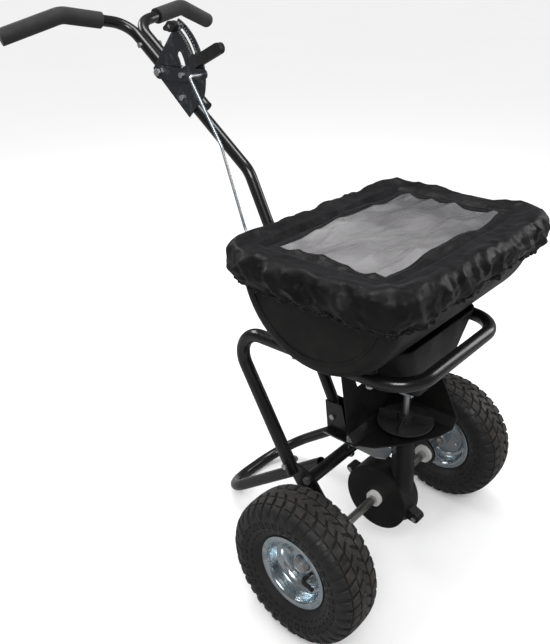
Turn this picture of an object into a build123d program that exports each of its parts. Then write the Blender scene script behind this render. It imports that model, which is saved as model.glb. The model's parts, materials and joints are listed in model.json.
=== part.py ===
from build123d import *
import math
import os

# Push broadcast spreader. Millimetres, +Z up. The front faces -Y, the operator stands on the +Y side, and
# the operator's right is -X. Everything is drawn with Y = 0 at the axle, and save() then moves it so that
# the origin is on the ground under the middle of the whole machine.
middle_y = 274.72

# Wheels and axle
wheel_radius = 130.0
wheel_centre_x = 237.0
axle_radius = 8.0
axle_half_length = 248.5
running_gap = 0.05
hub_inner_end = -32.0
hub_outer_end = 9.0
wheel_bolt_circle = 30.0
wheel_bolt_angle = 24.0
wheel_bolt_radius = 3.0
valve_radius = 3.6
drive_pin_radius = 2.5
rim_sheet = 2.2

# Gearbox and vertical impeller shaft, which stands in front of the axle
shaft_y = -38.0
shaft_radius = 6.0
shaft_bottom = 102.0
shaft_bush_radius = 13.5
shaft_top = 430.0
drum_radius = 64.0
drum_wall = 4.0
drum_right = -26.0
drum_left = 20.0
drum_split = -3.0
neck_radius = 22.0
neck_shoulder = 200.0
neck_tip_radius = 17.5
neck_top = 266.0
gearbox_lobes = ((68.0, 152.0), (-76.0, 112.0))
axle_gear_teeth = 24
axle_gear_radius = 25.2
shaft_gear_starts = 6
shaft_gear_radius = 12.4

# Impeller, guard and outlet
impeller_radius = 50.0
impeller_z = 303.0
guard_rear_y = 16.0
guard_left_x = 67.5
guard_sheet = 2.5
guard_bottom = 286.0
guard_lip = 14.0
guard_seam = 1.5
outlet_floor_z = 394.0
port_inner_x = 10.0
port_outer_x = 34.0
port_rear_y = -24.0
port_front_y = -64.0
gate_travel = 48.0

# Frame tubes
frame_radius = 12.0
frame_half_width = 150.0
frame_wall = 1.6
frame_front = (-130.0, 470.0)
frame_rear_corner = (244.0, 461.0)
leg_foot = (94.0, 213.0)
cross_tube = (60.0, 215.5)
stand_half_width = 103.0
stand_end_y = 340.0
bracket_sheet = 4.0
leg_bolt = (104.0, 229.6)
hopper_bolt_ys = (-60.0, 90.0)

# Base plate on the cross tube, and the bracket that holds the column
plate_bottom = 227.5
plate_top = 230.0
plate_bolts = ((-26.0, 60.0), (28.0, 60.0))
stay_bolt = (13.0, -8.0)
foot_bolt = (104.0, 262.0)

# Column and handlebars
bar_radius = 11.0
bar_wall = 1.6
bar_offset = 11.2
grip_radius = 16.0
column_foot = (98.0, 233.0)
column_knee = (112.0, 285.0)
column_bend = (318.0, 699.0)
bar_corner = (640.0, 944.0)
grip_bend = (148.0, 661.0, 968.0)
bar_end = (252.0, 697.0, 934.0)
grip_start_x = 70.0
left_bar_start_y = 450.0

# Control quadrant, lever and linkage
pivot = (532.0, 862.0)
quadrant_near = -24.8
quadrant_far = -22.4
lever_near = -31.5
lever_far = -28.5
lever_slot_radius = 66.0
stop_slot_radius = 104.0
lever_travel = 28.0
stop_angle = 57.0
knob_outer = -46.0
knob_wing_inner = -39.5
hook_radius = 125.0
hook_angle = 3.0
rod_radius = 2.75
rod_x = -65.0
crank_pivot = (72.0, 451.0)
crank_gate_arm = 60.0
crank_rod_arm = 86.0
crank_near = -61.4
crank_far = -59.0

# Hopper and rain cover
hopper_wall = 3.5
hopper_half_length = 216.0
barrel_radius = 152.0
barrel_centre = (3.0, 631.0)
barrel_rounding = 24.0
rim_z = 656.0
rim_half_length = 231.0
rim_front = -153.0
rim_rear = 159.0
cover_half_length = 243.0
cover_front = -164.0
cover_rear = 170.0
cover_top = 664.0
cover_hem = 600.0
cover_sheet = 2.0
window_half_length = 178.0
window_front = -98.0
window_rear = 104.0

os.makedirs("parts", exist_ok=True)


def save(name, *solids):
    """Write one node: a single solid, or a group of separate solids."""
    placed = [Pos(0, -middle_y, 0) * solid for solid in solids]
    shape = placed[0] if len(placed) == 1 else Compound(children=placed)
    shape.label = name
    export_step(shape, f"parts/{name}.step")


def bar_x(radius, x_from, x_to, y=0.0, z=wheel_radius):
    low, high = min(x_from, x_to), max(x_from, x_to)
    return Pos((low + high) / 2, y, z) * Rot(0, 90, 0) * Cylinder(radius, high - low)


def bar_z(radius, z_from, z_to, x=0.0, y=0.0):
    return Pos(x, y, (z_from + z_to) / 2) * Cylinder(radius, z_to - z_from)


def hexagon_x(width, x_from, x_to, y, z):
    low, high = min(x_from, x_to), max(x_from, x_to)
    plane = Plane(origin=(low, y, z), x_dir=(0, 1, 0), z_dir=(1, 0, 0))
    face = plane * RegularPolygon(width / 2, 6, major_radius=False)
    return extrude(face, high - low, dir=(1, 0, 0))


def hexagon_z(width, z_from, z_to, x, y):
    face = Pos(x, y, z_from) * RegularPolygon(width / 2, 6, major_radius=False)
    return extrude(face, z_to - z_from)


def block(x_from, x_to, y_from, y_to, z_from, z_to):
    centre = ((x_from + x_to) / 2, (y_from + y_to) / 2, (z_from + z_to) / 2)
    return Pos(*centre) * Box(abs(x_to - x_from), abs(y_to - y_from), abs(z_to - z_from))


def sheet_x(points, x_from, x_to):
    """A flat sheet across X from an outline of (y, z) points."""
    face = make_face(Polyline(*[(x_from, y, z) for y, z in points], close=True))
    return extrude(face, x_to - x_from, dir=(1, 0, 0))


def sheet_y(points, y_from, y_to):
    """A flat sheet across Y from an outline of (x, z) points."""
    face = make_face(Polyline(*[(x, y_from, z) for x, z in points], close=True))
    return extrude(face, y_to - y_from, dir=(0, 1, 0))


def sheet_z(points, z_from, z_to):
    """A flat sheet across Z from an outline of (x, y) points."""
    face = make_face(Polyline(*[(x, y, z_from) for x, y in points], close=True))
    return extrude(face, z_to - z_from, dir=(0, 0, 1))


def hull_x(circles, x_from, x_to):
    """A flat link across X that wraps circles given as (y, z, radius)."""
    plane = Plane(origin=(x_from, 0, 0), x_dir=(0, 1, 0), z_dir=(1, 0, 0))
    discs = [Pos(y, z) * Circle(radius) for y, z, radius in circles]
    outline = make_hull([edge for disc in discs for edge in disc.edges()])
    return extrude(plane * outline, x_to - x_from, dir=(1, 0, 0))


def bent_path(points, radii):
    """Straight runs joined by tangent arcs."""
    corners = [Vector(*point) for point in points]
    edges = []
    start = corners[0]
    for before, corner, after, radius in zip(corners, corners[1:], corners[2:], radii):
        back = (before - corner).normalized()
        ahead = (after - corner).normalized()
        half = math.acos(back.dot(ahead)) / 2
        setback = radius / math.tan(half)
        middle = corner + (back + ahead).normalized() * (radius / math.sin(half) - radius)
        edges.append(Line(start, corner + back * setback))
        edges.append(ThreePointArc(corner + back * setback, middle, corner + ahead * setback))
        start = corner + ahead * setback
    edges.append(Line(start, corners[-1]))
    return Wire(edges)


def rod_along(path, radius):
    return sweep(Plane(origin=path @ 0, z_dir=path % 0) * Circle(radius), path=path)


def tube_along(path, radius, wall):
    return rod_along(path, radius) - rod_along(path, radius - wall)


def ring(profile, centre_x, side):
    """A turned part about the axle, from (outward distance, radius) points."""
    points = [(centre_x + side * out, radius) for out, radius in profile]
    face = make_face(Polyline(*points, close=True))
    return Pos(0, 0, wheel_radius) * revolve(face, axis=Axis.X)


def hex_bolt_x(y, z, x_head, x_nut, radius, direction, nut=True):
    """A bolt along X with its head at x_head, and its nut past x_nut."""
    width = radius * 3.4
    head = radius * 1.4
    beyond = x_nut + direction * (radius * 2.2 if nut else 0)
    bolt = bar_x(radius, x_head, beyond, y, z) + hexagon_x(width, x_head - direction * head, x_head, y, z)
    solids = [bolt]
    if nut:
        nut_end = x_nut + direction * radius * 1.6
        solids.append(hexagon_x(width, x_nut, nut_end, y, z) - bar_x(radius, x_nut - 9, x_nut + 9, y, z))
    return solids


def hex_bolt_z(x, y, z_head, z_nut, radius):
    """A vertical bolt with its head on top at z_head and its nut under z_nut."""
    width = radius * 3.4
    bolt = bar_z(radius, z_nut - radius * 2.2, z_head, x, y)
    bolt += hexagon_z(width, z_head, z_head + radius * 1.4, x, y)
    nut = hexagon_z(width, z_nut - radius * 1.6, z_nut, x, y) - bar_z(radius, z_nut - 20, z_nut + 20, x, y)
    return [bolt, nut]


def bar_z_at(y):
    """Height of the handlebars' centre line on their long straight run."""
    slope = (bar_corner[1] - column_bend[1]) / (bar_corner[0] - column_bend[0])
    return column_bend[1] + slope * (y - column_bend[0])


def side_bar_z(y):
    """Height of the centre line of the frame's side bars."""
    share = (y - frame_front[0]) / (frame_rear_corner[0] - frame_front[0])
    return frame_front[1] + share * (frame_rear_corner[1] - frame_front[1])


def on_quadrant(radius, degrees):
    """A point (y, z) at a radius from the lever pivot, angle up from straight ahead."""
    angle = math.radians(degrees)
    return (pivot[0] - radius * math.cos(angle), pivot[1] + radius * math.sin(angle))


# ---------------------------------------------------------------- wheels
def tyre(side):
    x = side * wheel_centre_x
    crown = wheel_radius
    points = {
        "bead": (26.5, 58.5), "flange": (27.0, 68.0), "belly": (46.0, 96.0), "shoulder": (41.0, 120.0),
        "lining": (35.0, 113.0), "lining_belly": (39.0, 94.0), "toe": (18.0, 66.0), "heel": (18.0, 58.5),
    }

    def at(name, mirror=1):
        out, radius = points[name]
        return (x + mirror * out, radius)

    edges = [
        Line(at("bead"), at("flange")),
        ThreePointArc(at("flange"), at("belly"), at("shoulder")),
        ThreePointArc(at("shoulder"), (x, crown), at("shoulder", -1)),
        ThreePointArc(at("shoulder", -1), at("belly", -1), at("flange", -1)),
        Line(at("flange", -1), at("bead", -1)),
        Line(at("bead", -1), at("heel", -1)),
        Line(at("heel", -1), at("toe", -1)),
        ThreePointArc(at("toe", -1), at("lining_belly", -1), at("lining", -1)),
        ThreePointArc(at("lining", -1), (x, 122.5), at("lining")),
        ThreePointArc(at("lining"), at("lining_belly"), at("toe")),
        Line(at("toe"), at("heel")),
        Line(at("heel"), at("bead")),
    ]
    face = make_face(edges)
    return Pos(0, 0, wheel_radius) * revolve(face, axis=Axis.X)


def wheel_bolt_places():
    places = []
    for quarter in range(4):
        angle = math.radians(wheel_bolt_angle + 90 * quarter)
        across, up = wheel_bolt_circle * math.cos(angle), wheel_bolt_circle * math.sin(angle)
        places.append((across, wheel_radius + up))
    return places


def rim_half(side, outward):
    """One pressed half: web at the middle of the wheel, drop, bead seat and rolled flange."""
    sheet = rim_sheet
    profile = [
        (0, 15), (sheet, 15), (sheet, 41), (8.8, 51.4), (25.2, 53.6), (31.2, 57.0), (31.6, 66.0),
        (29.4, 66.0), (28.4, 58.2), (24.6, 55.8), (7.6, 53.4), (0, 42),
    ]
    half = ring([(outward * out, radius) for out, radius in profile], side * wheel_centre_x, side)
    x = side * wheel_centre_x
    for y, z in wheel_bolt_places():
        half -= bar_x(wheel_bolt_radius, x - 8, x + 8, y, z)
    return half


def hub(side):
    profile = [
        (hub_inner_end, axle_radius + running_gap), (hub_outer_end, axle_radius + running_gap),
        (hub_outer_end, 14.0), (-rim_sheet, 14.0), (-rim_sheet, 40.0), (-rim_sheet - 3, 40.0),
        (-rim_sheet - 3, 16.0), (hub_inner_end, 16.0),
    ]
    shape = ring(profile, side * wheel_centre_x, side)
    x = side * wheel_centre_x
    for y, z in wheel_bolt_places():
        shape -= bar_x(wheel_bolt_radius, x - 12, x + 12, y, z)
    if side > 0:
        shape -= bar_z(drive_pin_radius, 100, 160, drive_pin_x)
    return shape


def wheel_bolts(side):
    """Four bolts clamp the hub flange and the two rim halves, heads on the outer face."""
    x = side * wheel_centre_x
    outer = x + side * rim_sheet
    inner = x - side * (rim_sheet + 3)
    solids = []
    for y, z in wheel_bolt_places():
        solids += hex_bolt_x(y, z, outer, inner, wheel_bolt_radius, -side)
    return solids


def valve(side):
    """A rubber stem that leaves the rim between two bolts and bends forwards."""
    x = side * (wheel_centre_x + rim_sheet)
    y, z = -9.0, wheel_radius - 24
    points = [(x, y, z), (x + side * 12, y, z), (x + side * 17, y - 26, z + 2)]
    return rod_along(bent_path(points, [7]), valve_radius)


drive_pin_x = wheel_centre_x + hub_inner_end + 8


for side, word in ((-1, "right"), (1, "left")):
    save(f"{word}_tyre", tyre(side))
    save(f"{word}_rim_outer", rim_half(side, 1))
    save(f"{word}_rim_inner", rim_half(side, -1))
    save(f"{word}_hub", hub(side))
    save(f"{word}_wheel_bolts", *wheel_bolts(side))
    save(f"{word}_valve", valve(side))

axle = bar_x(axle_radius, -axle_half_length, axle_half_length)
axle -= bar_z(drive_pin_radius, 100, 160, drive_pin_x)
save("axle", axle)
save("drive_pin", bar_z(drive_pin_radius, wheel_radius - 19, wheel_radius + 19, drive_pin_x))

collars = []
for side in (-1, 1):
    inner_x = side * (wheel_centre_x + hub_inner_end - 0.3)
    outer_x = side * (wheel_centre_x + hub_outer_end + 0.3)
    for x_from, x_to, radius in ((inner_x - side * 8, inner_x, 13.0), (outer_x, outer_x + side * 1.4,
        11.5)):
        collars.append(bar_x(radius, x_from, x_to) - bar_x(axle_radius, x_from - side * 9, x_to + side * 9))
save("axle_collars", *collars)

# ---------------------------------------------------------------- gearbox


def gearbox_body():
    body = bar_x(drum_radius, drum_right, drum_left)
    for y, z in gearbox_lobes:
        body += hull_x([(y * 0.5, 130 + (z - 130) * 0.5, 14), (y, z, 9)], -12, 8)
    body += bar_z(neck_radius, wheel_radius - 32, neck_shoulder, 0, shaft_y)
    taper = neck_top - neck_shoulder
    body += Pos(0, shaft_y, neck_shoulder + taper / 2) * Cone(neck_radius, neck_tip_radius, taper)
    body += hull_x([(shaft_y, 195, 14), (-10, 150, 30)], -12, 12)
    body += block(2, 24, shaft_y + 15, 4, plate_bottom - 6, plate_bottom)
    body -= bar_x(drum_radius - drum_wall, drum_right + drum_wall, drum_left - drum_wall)
    body -= bar_z(shaft_bush_radius, wheel_radius - 28, neck_top + 1, 0, shaft_y)
    body -= bar_x(13, drum_right - 1, drum_left + 1)
    body -= bar_z(4, 200, 240, *stay_bolt)
    for y, z in gearbox_lobes:
        body -= bar_x(2.5, -30, 30, y, z)
    return body


box_body = gearbox_body()
save("gearbox_cover", box_body & block(-60, drum_split, -140, 140, 0, 300))
save("gearbox_housing", box_body & block(drum_split, 60, -140, 140, 0, 300))

bushes = []
for x_from, x_to, flange_from, flange_to in ((-34, -20, -34, drum_right), (14, 28, drum_left, 28)):
    bush = bar_x(13, x_from, x_to) + bar_x(15, flange_from, flange_to)
    bushes.append(bush - bar_x(axle_radius + running_gap, x_from - 1, x_to + 1))
save("gearbox_bushes", *bushes)

screws = []
for y, z in gearbox_lobes:
    screws += hex_bolt_x(y, z, -12, 8, 2.5, 1)
save("gearbox_screws", *screws)


def toothed(radius, teeth, depth, width):
    """A toothed wheel about Z, centred on the origin."""
    wheel = Cylinder(radius, width)
    gap = math.pi * radius / teeth
    cutter = Box(2 * depth, gap, width + 2)
    for index in range(teeth):
        wheel -= Rot(0, 0, 360 * index / teeth) * Pos(radius, 0, 0) * cutter
    return wheel


axle_gear = toothed(axle_gear_radius, axle_gear_teeth, 3.0, 20)
axle_gear += Cylinder(15, 30)
axle_gear -= Cylinder(axle_radius, 60)
save("axle_gear", Pos(-3, 0, wheel_radius) * Rot(0, 90, 0) * axle_gear)

shaft_gear = toothed(shaft_gear_radius, shaft_gear_starts, 2.6, 36) - Cylinder(shaft_radius, 60)
save("shaft_gear", Pos(0, shaft_y, wheel_radius) * shaft_gear)

save("impeller_shaft", bar_z(shaft_radius, shaft_bottom, shaft_top, 0, shaft_y))
shaft_bushes = []
for z_from, z_to in ((shaft_bottom, shaft_bottom + 8), (neck_top - 25, neck_top + 3)):
    bush = bar_z(shaft_bush_radius, z_from, z_to, 0, shaft_y)
    shaft_bushes.append(bush - bar_z(shaft_radius + running_gap, z_from - 1, z_to + 1, 0, shaft_y))
save("shaft_bushes", *shaft_bushes)

# ---------------------------------------------------------------- impeller, agitator, guard
impeller = bar_z(impeller_radius, impeller_z, impeller_z + 3, 0, shaft_y)
impeller += bar_z(14, impeller_z - 11, impeller_z + 15, 0, shaft_y)
for index in range(4):
    vane = Pos(30, 0, impeller_z + 9) * Box(36, 2.5, 15)
    impeller += Pos(0, shaft_y, 0) * Rot(0, 0, 20 + 90 * index) * vane
impeller -= bar_z(shaft_radius, impeller_z - 20, impeller_z + 30, 0, shaft_y)
save("impeller", impeller)

agitator = bar_z(11, 404, 418, 0, shaft_y) + bar_x(3, -32, 32, shaft_y, 411)
agitator -= bar_z(shaft_radius, 400, 425, 0, shaft_y)
save("agitator", agitator)


def guard():
    """Folded shield behind and to the left of the impeller, with a chamfered lip and a corner floor."""
    wall_bottom = guard_bottom + guard_lip
    rear = guard_rear_y
    left = guard_left_x
    shape = sheet_y(
        [(-95, wall_bottom), (-120, 436), (-140, 450), (-140, 453), (-96, 440), (-72, 384), (left, 384),
         (96, 440), (140, 453), (140, 450), (120, 436), (left + guard_sheet, 384),
         (left + guard_sheet, wall_bottom)],
        rear, rear + guard_sheet)
    shape += sheet_x(
        [(rear + guard_sheet, wall_bottom), (rear + guard_sheet, 384), (-24, 318), (-66, 375), (-104,
         wall_bottom)],
        left, left + guard_sheet)
    rear_lip = sheet_x(
        [(rear, wall_bottom), (rear + guard_sheet, wall_bottom), (rear + guard_sheet - guard_lip,
         guard_bottom),
         (rear - guard_lip, guard_bottom)],
        -95, left + guard_sheet)
    left_lip = sheet_y(
        [(left, wall_bottom), (left + guard_sheet, wall_bottom), (left + guard_sheet - guard_lip,
         guard_bottom),
         (left - guard_lip, guard_bottom)],
        -104, rear + guard_sheet)
    mitre = [(left - 300, rear - 300), (left + 300, rear + 300)]
    shape += rear_lip & sheet_z(mitre + [(left - 300, rear + 300)], 270, 310)
    shape += left_lip & sheet_z(mitre + [(left + 300, rear - 300)], 270, 310)
    floor_rear = rear - guard_lip + guard_seam
    floor_left = left - guard_lip + guard_seam
    shape += sheet_z(
        [(-95, floor_rear), (floor_left, floor_rear), (floor_left, -104), (20, -96), (-40, -62), (-80,
         -28)],
        guard_bottom - guard_sheet, guard_bottom)
    shape -= bar_z(17, 270, 300, 0, shaft_y)
    for side in (-1, 1):
        shape += block(side * 138, side * 162, rear - 8, rear + guard_sheet + 8, 450.4, 453.4)
        shape -= bar_z(3, 440, 460, side * frame_half_width, rear + 1)
    return shape


save("impeller_guard", guard())

# ---------------------------------------------------------------- frame
frame_points = []
for side in (1, -1):
    run = [(side * frame_half_width, *leg_foot), (side * frame_half_width, *frame_rear_corner),
           (side * frame_half_width, *frame_front)]
    frame_points += run if side > 0 else run[::-1]
frame_path = bent_path(frame_points, [45, 60, 60, 45])
main_frame = tube_along(frame_path, frame_radius, frame_wall)
for side in (-1, 1):
    x = side * frame_half_width
    main_frame -= block(x - bracket_sheet / 2 - 0.05, x + bracket_sheet / 2 + 0.05, 60, 125, 190, 246)
    main_frame -= bar_x(3, x - 20, x + 20, *leg_bolt)
    main_frame -= bar_z(3, 440, 500, x, guard_rear_y + 1)
    for y in hopper_bolt_ys:
        main_frame -= bar_z(3, 440, 500, x, y)
save("main_frame", main_frame)


def axle_bracket(side):
    x = side * frame_half_width
    half = bracket_sheet / 2
    plate = hull_x([(0, wheel_radius, 24), (*cross_tube, 16), (*leg_bolt, 9)], x - half, x + half)
    plate -= bar_x(14, x - 9, x + 9)
    plate -= bar_x(4, x - 9, x + 9, *cross_tube)
    plate -= bar_x(3, x - 9, x + 9, *leg_bolt)
    return plate


save("right_axle_bracket", axle_bracket(-1))
save("left_axle_bracket", axle_bracket(1))

axle_bushes = []
for side in (-1, 1):
    inner = side * (frame_half_width - bracket_sheet / 2)
    bush = bar_x(14, inner - side * 7, inner + side * 9) + bar_x(18, inner - side * 7, inner)
    axle_bushes.append(bush - bar_x(axle_radius + running_gap, inner - 12, inner + 12))
save("axle_bushes", *axle_bushes)

cross_end = frame_half_width - bracket_sheet / 2
cross = bar_x(frame_radius, -cross_end, cross_end, *cross_tube)
cross -= bar_x(frame_radius - 2, -cross_end + 22, cross_end - 22, *cross_tube)
cross -= bar_x(4, -cross_end - 5, cross_end + 5, *cross_tube)
for x, y in plate_bolts:
    cross -= bar_z(4, 190, 240, x, y)
save("cross_tube", cross)

bracket_bolts = []
for side in (-1, 1):
    outer = side * (frame_half_width + bracket_sheet / 2)
    bracket_bolts.append(
        bar_x(4, side * (cross_end - 20), outer, *cross_tube)
        + hexagon_x(13, outer, outer + side * 5.5, *cross_tube))
    bracket_bolts += hex_bolt_x(*leg_bolt, side * 162.5, side * 137.5, 3.0, -side)
save("bracket_bolts", *bracket_bolts)

# The stand is a U of tube whose arms are coped onto the cross tube and whose end rests on the ground
stand_top = (78.0, 212.0)
stand_slope = (frame_radius - stand_top[1]) / (stand_end_y - stand_top[0])
stand_start_y = cross_tube[0] + 8
stand_start_z = stand_top[1] + stand_slope * (stand_start_y - stand_top[0])
stand_points = [
    (-stand_half_width, stand_start_y, stand_start_z), (-stand_half_width, stand_end_y, frame_radius),
    (stand_half_width, stand_end_y, frame_radius), (stand_half_width, stand_start_y, stand_start_z),
]
stand_path = bent_path(stand_points, [88, 88])
stand = tube_along(stand_path, frame_radius - 1, frame_wall)
stand -= bar_x(frame_radius, -cross_end, cross_end, *cross_tube)
stand -= block(-160, 160, 30, cross_tube[0], 180, 240)
save("stand_loop", stand)

# ---------------------------------------------------------------- base plate and column bracket
base_plate = sheet_z([(-38, 116), (-38, -6), (-30, -20), (42, -20), (42, 116)], plate_bottom, plate_top)
bracket_top = plate_top + 3
column_bracket = sheet_z([(-38, 116), (-38, 44), (-8, 30), (42, 30), (42, 116)], plate_top, bracket_top)
cheek_outline = [(71, bracket_top), (86, 292), (122, 292), (116, bracket_top)]
bar_inner = -bar_offset + bar_radius
for x_from in (-bar_offset - bar_radius - 3, bar_inner):
    column_bracket += sheet_x(cheek_outline, x_from, x_from + 3)
for x, y in plate_bolts:
    column_bracket -= bar_z(4, 200, 250, x, y)
    base_plate -= bar_z(4, 200, 250, x, y)
base_plate -= bar_z(4, 200, 250, *stay_bolt)
base_plate -= bar_z(neck_radius, 200, 250, 0, shaft_y)
column_bracket -= bar_x(3, -60, 40, *foot_bolt)
save("base_plate", base_plate)
save("column_bracket", column_bracket)

plate_bolt_solids = []
for x, y in plate_bolts:
    plate_bolt_solids += hex_bolt_z(x, y, bracket_top, cross_tube[1] - frame_radius, 4)
plate_bolt_solids += hex_bolt_z(*stay_bolt, plate_top, plate_bottom - 6, 4)
save("base_plate_bolts", *plate_bolt_solids)

# ---------------------------------------------------------------- column and handlebars
right_path = bent_path(
    [(-bar_offset, *column_foot), (-bar_offset, *column_knee), (-bar_offset, *column_bend),
     (-bar_offset, *bar_corner), (-grip_bend[0], *grip_bend[1:]), (-bar_end[0], *bar_end[1:])],
    [60, 60, 45, 40])
left_path = bent_path(
    [(bar_offset, left_bar_start_y, bar_z_at(left_bar_start_y)), (bar_offset, *bar_corner), grip_bend,
     bar_end],
    [45, 40])
clamp_bolts = ((475.0, bar_z_at(475.0)), (592.0, bar_z_at(592.0)))
column = tube_along(right_path, bar_radius, bar_wall)
left_bar = tube_along(left_path, bar_radius, bar_wall)
for y, z in clamp_bolts:
    column -= bar_x(3, -40, 40, y, z)
    left_bar -= bar_x(3, -40, 40, y, z)
column -= bar_x(4, -40, 40, *pivot)
left_bar -= bar_x(4, -40, 40, *pivot)
column -= bar_x(3, -60, 40, *foot_bolt)
column -= block(-60, 40, 50, 160, 200, bracket_top)
save("column_handlebar", column)
save("left_handlebar", left_bar)

start = left_path @ 0
towards = left_path % 0
plug_plane = Plane(origin=start, z_dir=towards)
plug = extrude(plug_plane * Circle(bar_radius + 0.4), 3, dir=tuple(towards * -1))
plug += extrude(plug_plane * Circle(bar_radius - bar_wall), 12, dir=tuple(towards))
save("handlebar_plug", plug)


def grip(side):
    """A foam sleeve over the bent end of a handlebar, closed past the end of the tube."""
    share = (grip_start_x - bar_offset) / (grip_bend[0] - bar_offset)
    start_y = bar_corner[0] + share * (grip_bend[1] - bar_corner[0])
    start_z = bar_corner[1] + share * (grip_bend[2] - bar_corner[1])
    bend = Vector(side * grip_bend[0], *grip_bend[1:])
    end = Vector(side * bar_end[0], *bar_end[1:])
    outward = (end - bend).normalized()
    first = Vector(side * grip_start_x, start_y, start_z)
    sleeve = rod_along(bent_path([first, bend, end + outward * 4], [40]), grip_radius)
    lead = (first - bend).normalized() * 4
    return sleeve - rod_along(bent_path([first + lead, bend, end], [40]), bar_radius)


save("right_grip", grip(-1))
save("left_grip", grip(1))

bar_outer = bar_offset + bar_radius
handle_bolts = hex_bolt_x(*clamp_bolts[0], quadrant_near, bar_outer, 3, 1)
handle_bolts += hex_bolt_x(*clamp_bolts[1], -bar_outer, bar_outer, 3, 1)
handle_bolts += hex_bolt_x(*foot_bolt, -bar_outer - 3, bar_inner + 3, 3, 1)
save("handlebar_bolts", *handle_bolts)

# ---------------------------------------------------------------- control quadrant
def arc_slot(radius, from_degrees, to_degrees, half_width, x_from, x_to):
    """A slot along an arc about the lever pivot, with round ends."""
    angles = (from_degrees, (from_degrees + to_degrees) / 2, to_degrees)
    inner = [on_quadrant(radius - half_width, angle) for angle in angles]
    outer = [on_quadrant(radius + half_width, angle) for angle in angles]
    edges = [
        ThreePointArc(*[(x_from, y, z) for y, z in inner]),
        Line((x_from, *inner[2]), (x_from, *outer[2])),
        ThreePointArc(*[(x_from, y, z) for y, z in outer]),
        Line((x_from, *outer[0]), (x_from, *inner[0])),
    ]
    slot = extrude(make_face(edges), x_to - x_from, dir=(1, 0, 0))
    for angle in (from_degrees, to_degrees):
        slot += bar_x(half_width, x_from, x_to, *on_quadrant(radius, angle))
    return slot


quadrant_edges = [
    Line((quadrant_near, 556, 866), (quadrant_near, 459, 783)),
    Line((quadrant_near, 459, 783), (quadrant_near, 416, 826)),
    ThreePointArc((quadrant_near, 416, 826), (quadrant_near, 414, 893), (quadrant_near, 474, 962)),
    Line((quadrant_near, 474, 962), (quadrant_near, 556, 866)),
]
quadrant = extrude(make_face(quadrant_edges), quadrant_far - quadrant_near, dir=(1, 0, 0))
quadrant -= arc_slot(lever_slot_radius, -2, lever_travel + 4, 6.5, quadrant_near - 1, quadrant_far + 1)
quadrant -= arc_slot(stop_slot_radius, 24, stop_angle, 3.6, quadrant_near - 1, quadrant_far + 1)
quadrant -= bar_x(3, -40, 0, *clamp_bolts[0])
quadrant -= bar_x(4, -40, 0, *pivot)
save("control_quadrant", quadrant)

guide_bolt = on_quadrant(lever_slot_radius, 0)
hook = on_quadrant(hook_radius, hook_angle)
grip_root = on_quadrant(104, 13)
grip_tip = on_quadrant(182, 18)
lever = hull_x([(*pivot, 13), (*guide_bolt, 12)], lever_near, lever_far)
lever += hull_x([(*guide_bolt, 12), (*hook, 9)], lever_near, lever_far)
lever += hull_x([(*guide_bolt, 10), (*grip_root, 8)], lever_near, lever_far)
lever += hull_x([(*grip_root, 8), (*grip_tip, 6)], lever_near, lever_far)
grip_hand = hull_x(
    [(*on_quadrant(126, 15), 10), (*on_quadrant(178, 18), 10)], lever_near - 7, lever_far + 2)
lever_hole_gap = 0.1
lever -= bar_x(4 + running_gap, -60, 0, *pivot)
lever -= bar_x(3, -60, 0, *guide_bolt)
lever -= bar_x(rod_radius + lever_hole_gap, -60, 0, *hook)
save("flow_lever", lever)
save("lever_grip", grip_hand - lever)

# The pivot bolt carries a spacer that holds the lever clear of the quadrant
pivot_bolt = hex_bolt_x(*pivot, lever_near - 1, bar_outer, 4, 1)
spacer = bar_x(9, lever_far + 0.4, quadrant_near, *pivot) - bar_x(4, -60, 0, *pivot)
save("lever_pivot_bolt", *pivot_bolt, spacer)
guide = bar_x(3, lever_near, quadrant_near + 1.4, *guide_bolt)
guide += hexagon_x(10, lever_near - 4, lever_near, *guide_bolt)
save("lever_guide_bolt", guide)

stop_centre = on_quadrant(stop_slot_radius, stop_angle)
stop_bolt = bar_x(3, knob_outer - 1, quadrant_far + 1, *stop_centre)
stop_bolt += bar_x(7, quadrant_far + 0.3, quadrant_far + 3, *stop_centre)
stop_block = bar_x(8, lever_near, quadrant_near - 0.3, *stop_centre) - bar_x(3, -60, 0, *stop_centre)
save("stop_bolt", stop_bolt, stop_block)
stop_knob = bar_x(10, knob_outer, lever_near - 0.2, *stop_centre)
for direction in (-1, 1):
    wing_tip = (stop_centre[0] + direction * 14, stop_centre[1] - direction * 4, 4)
    stop_knob += hull_x([(*stop_centre, 9), wing_tip], knob_outer, knob_wing_inner)
stop_knob -= bar_x(3, -60, 0, *stop_centre)
save("stop_knob", stop_knob)

# ---------------------------------------------------------------- linkage
crank_half = math.degrees(math.asin(gate_travel / 2 / crank_gate_arm))


def on_crank(arm, degrees):
    """A point (y, z) on the crank, angle from straight down towards the rear."""
    angle = math.radians(degrees)
    return (crank_pivot[0] + arm * math.sin(angle), crank_pivot[1] - arm * math.cos(angle))


gate_pin = on_crank(crank_gate_arm, -crank_half)
rod_foot = on_crank(crank_rod_arm, 90 - crank_half)
rod_path = bent_path(
    [(lever_far + 1, *hook), (rod_x, *hook), (rod_x, 332.5, 754.0), (rod_x, 280.0, 610.0), (rod_x,
     *rod_foot)],
    [7, 30, 30])
save("link_rod", rod_along(rod_path, rod_radius))

crank = hull_x([(*crank_pivot, 10), (*gate_pin, 7)], crank_near, crank_far)
crank += hull_x([(*crank_pivot, 10), (*rod_foot, 7)], crank_near, crank_far)
crank -= bar_x(4 + running_gap, -80, -40, *crank_pivot)
crank += bar_x(3, crank_far, -53, *gate_pin)
save("bell_crank", crank)

lug_near = -58.4
lug_far = -52.4
save("crank_pivot_bolt", *hex_bolt_x(*crank_pivot, crank_near - 0.6, lug_far, 4, 1))

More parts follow.
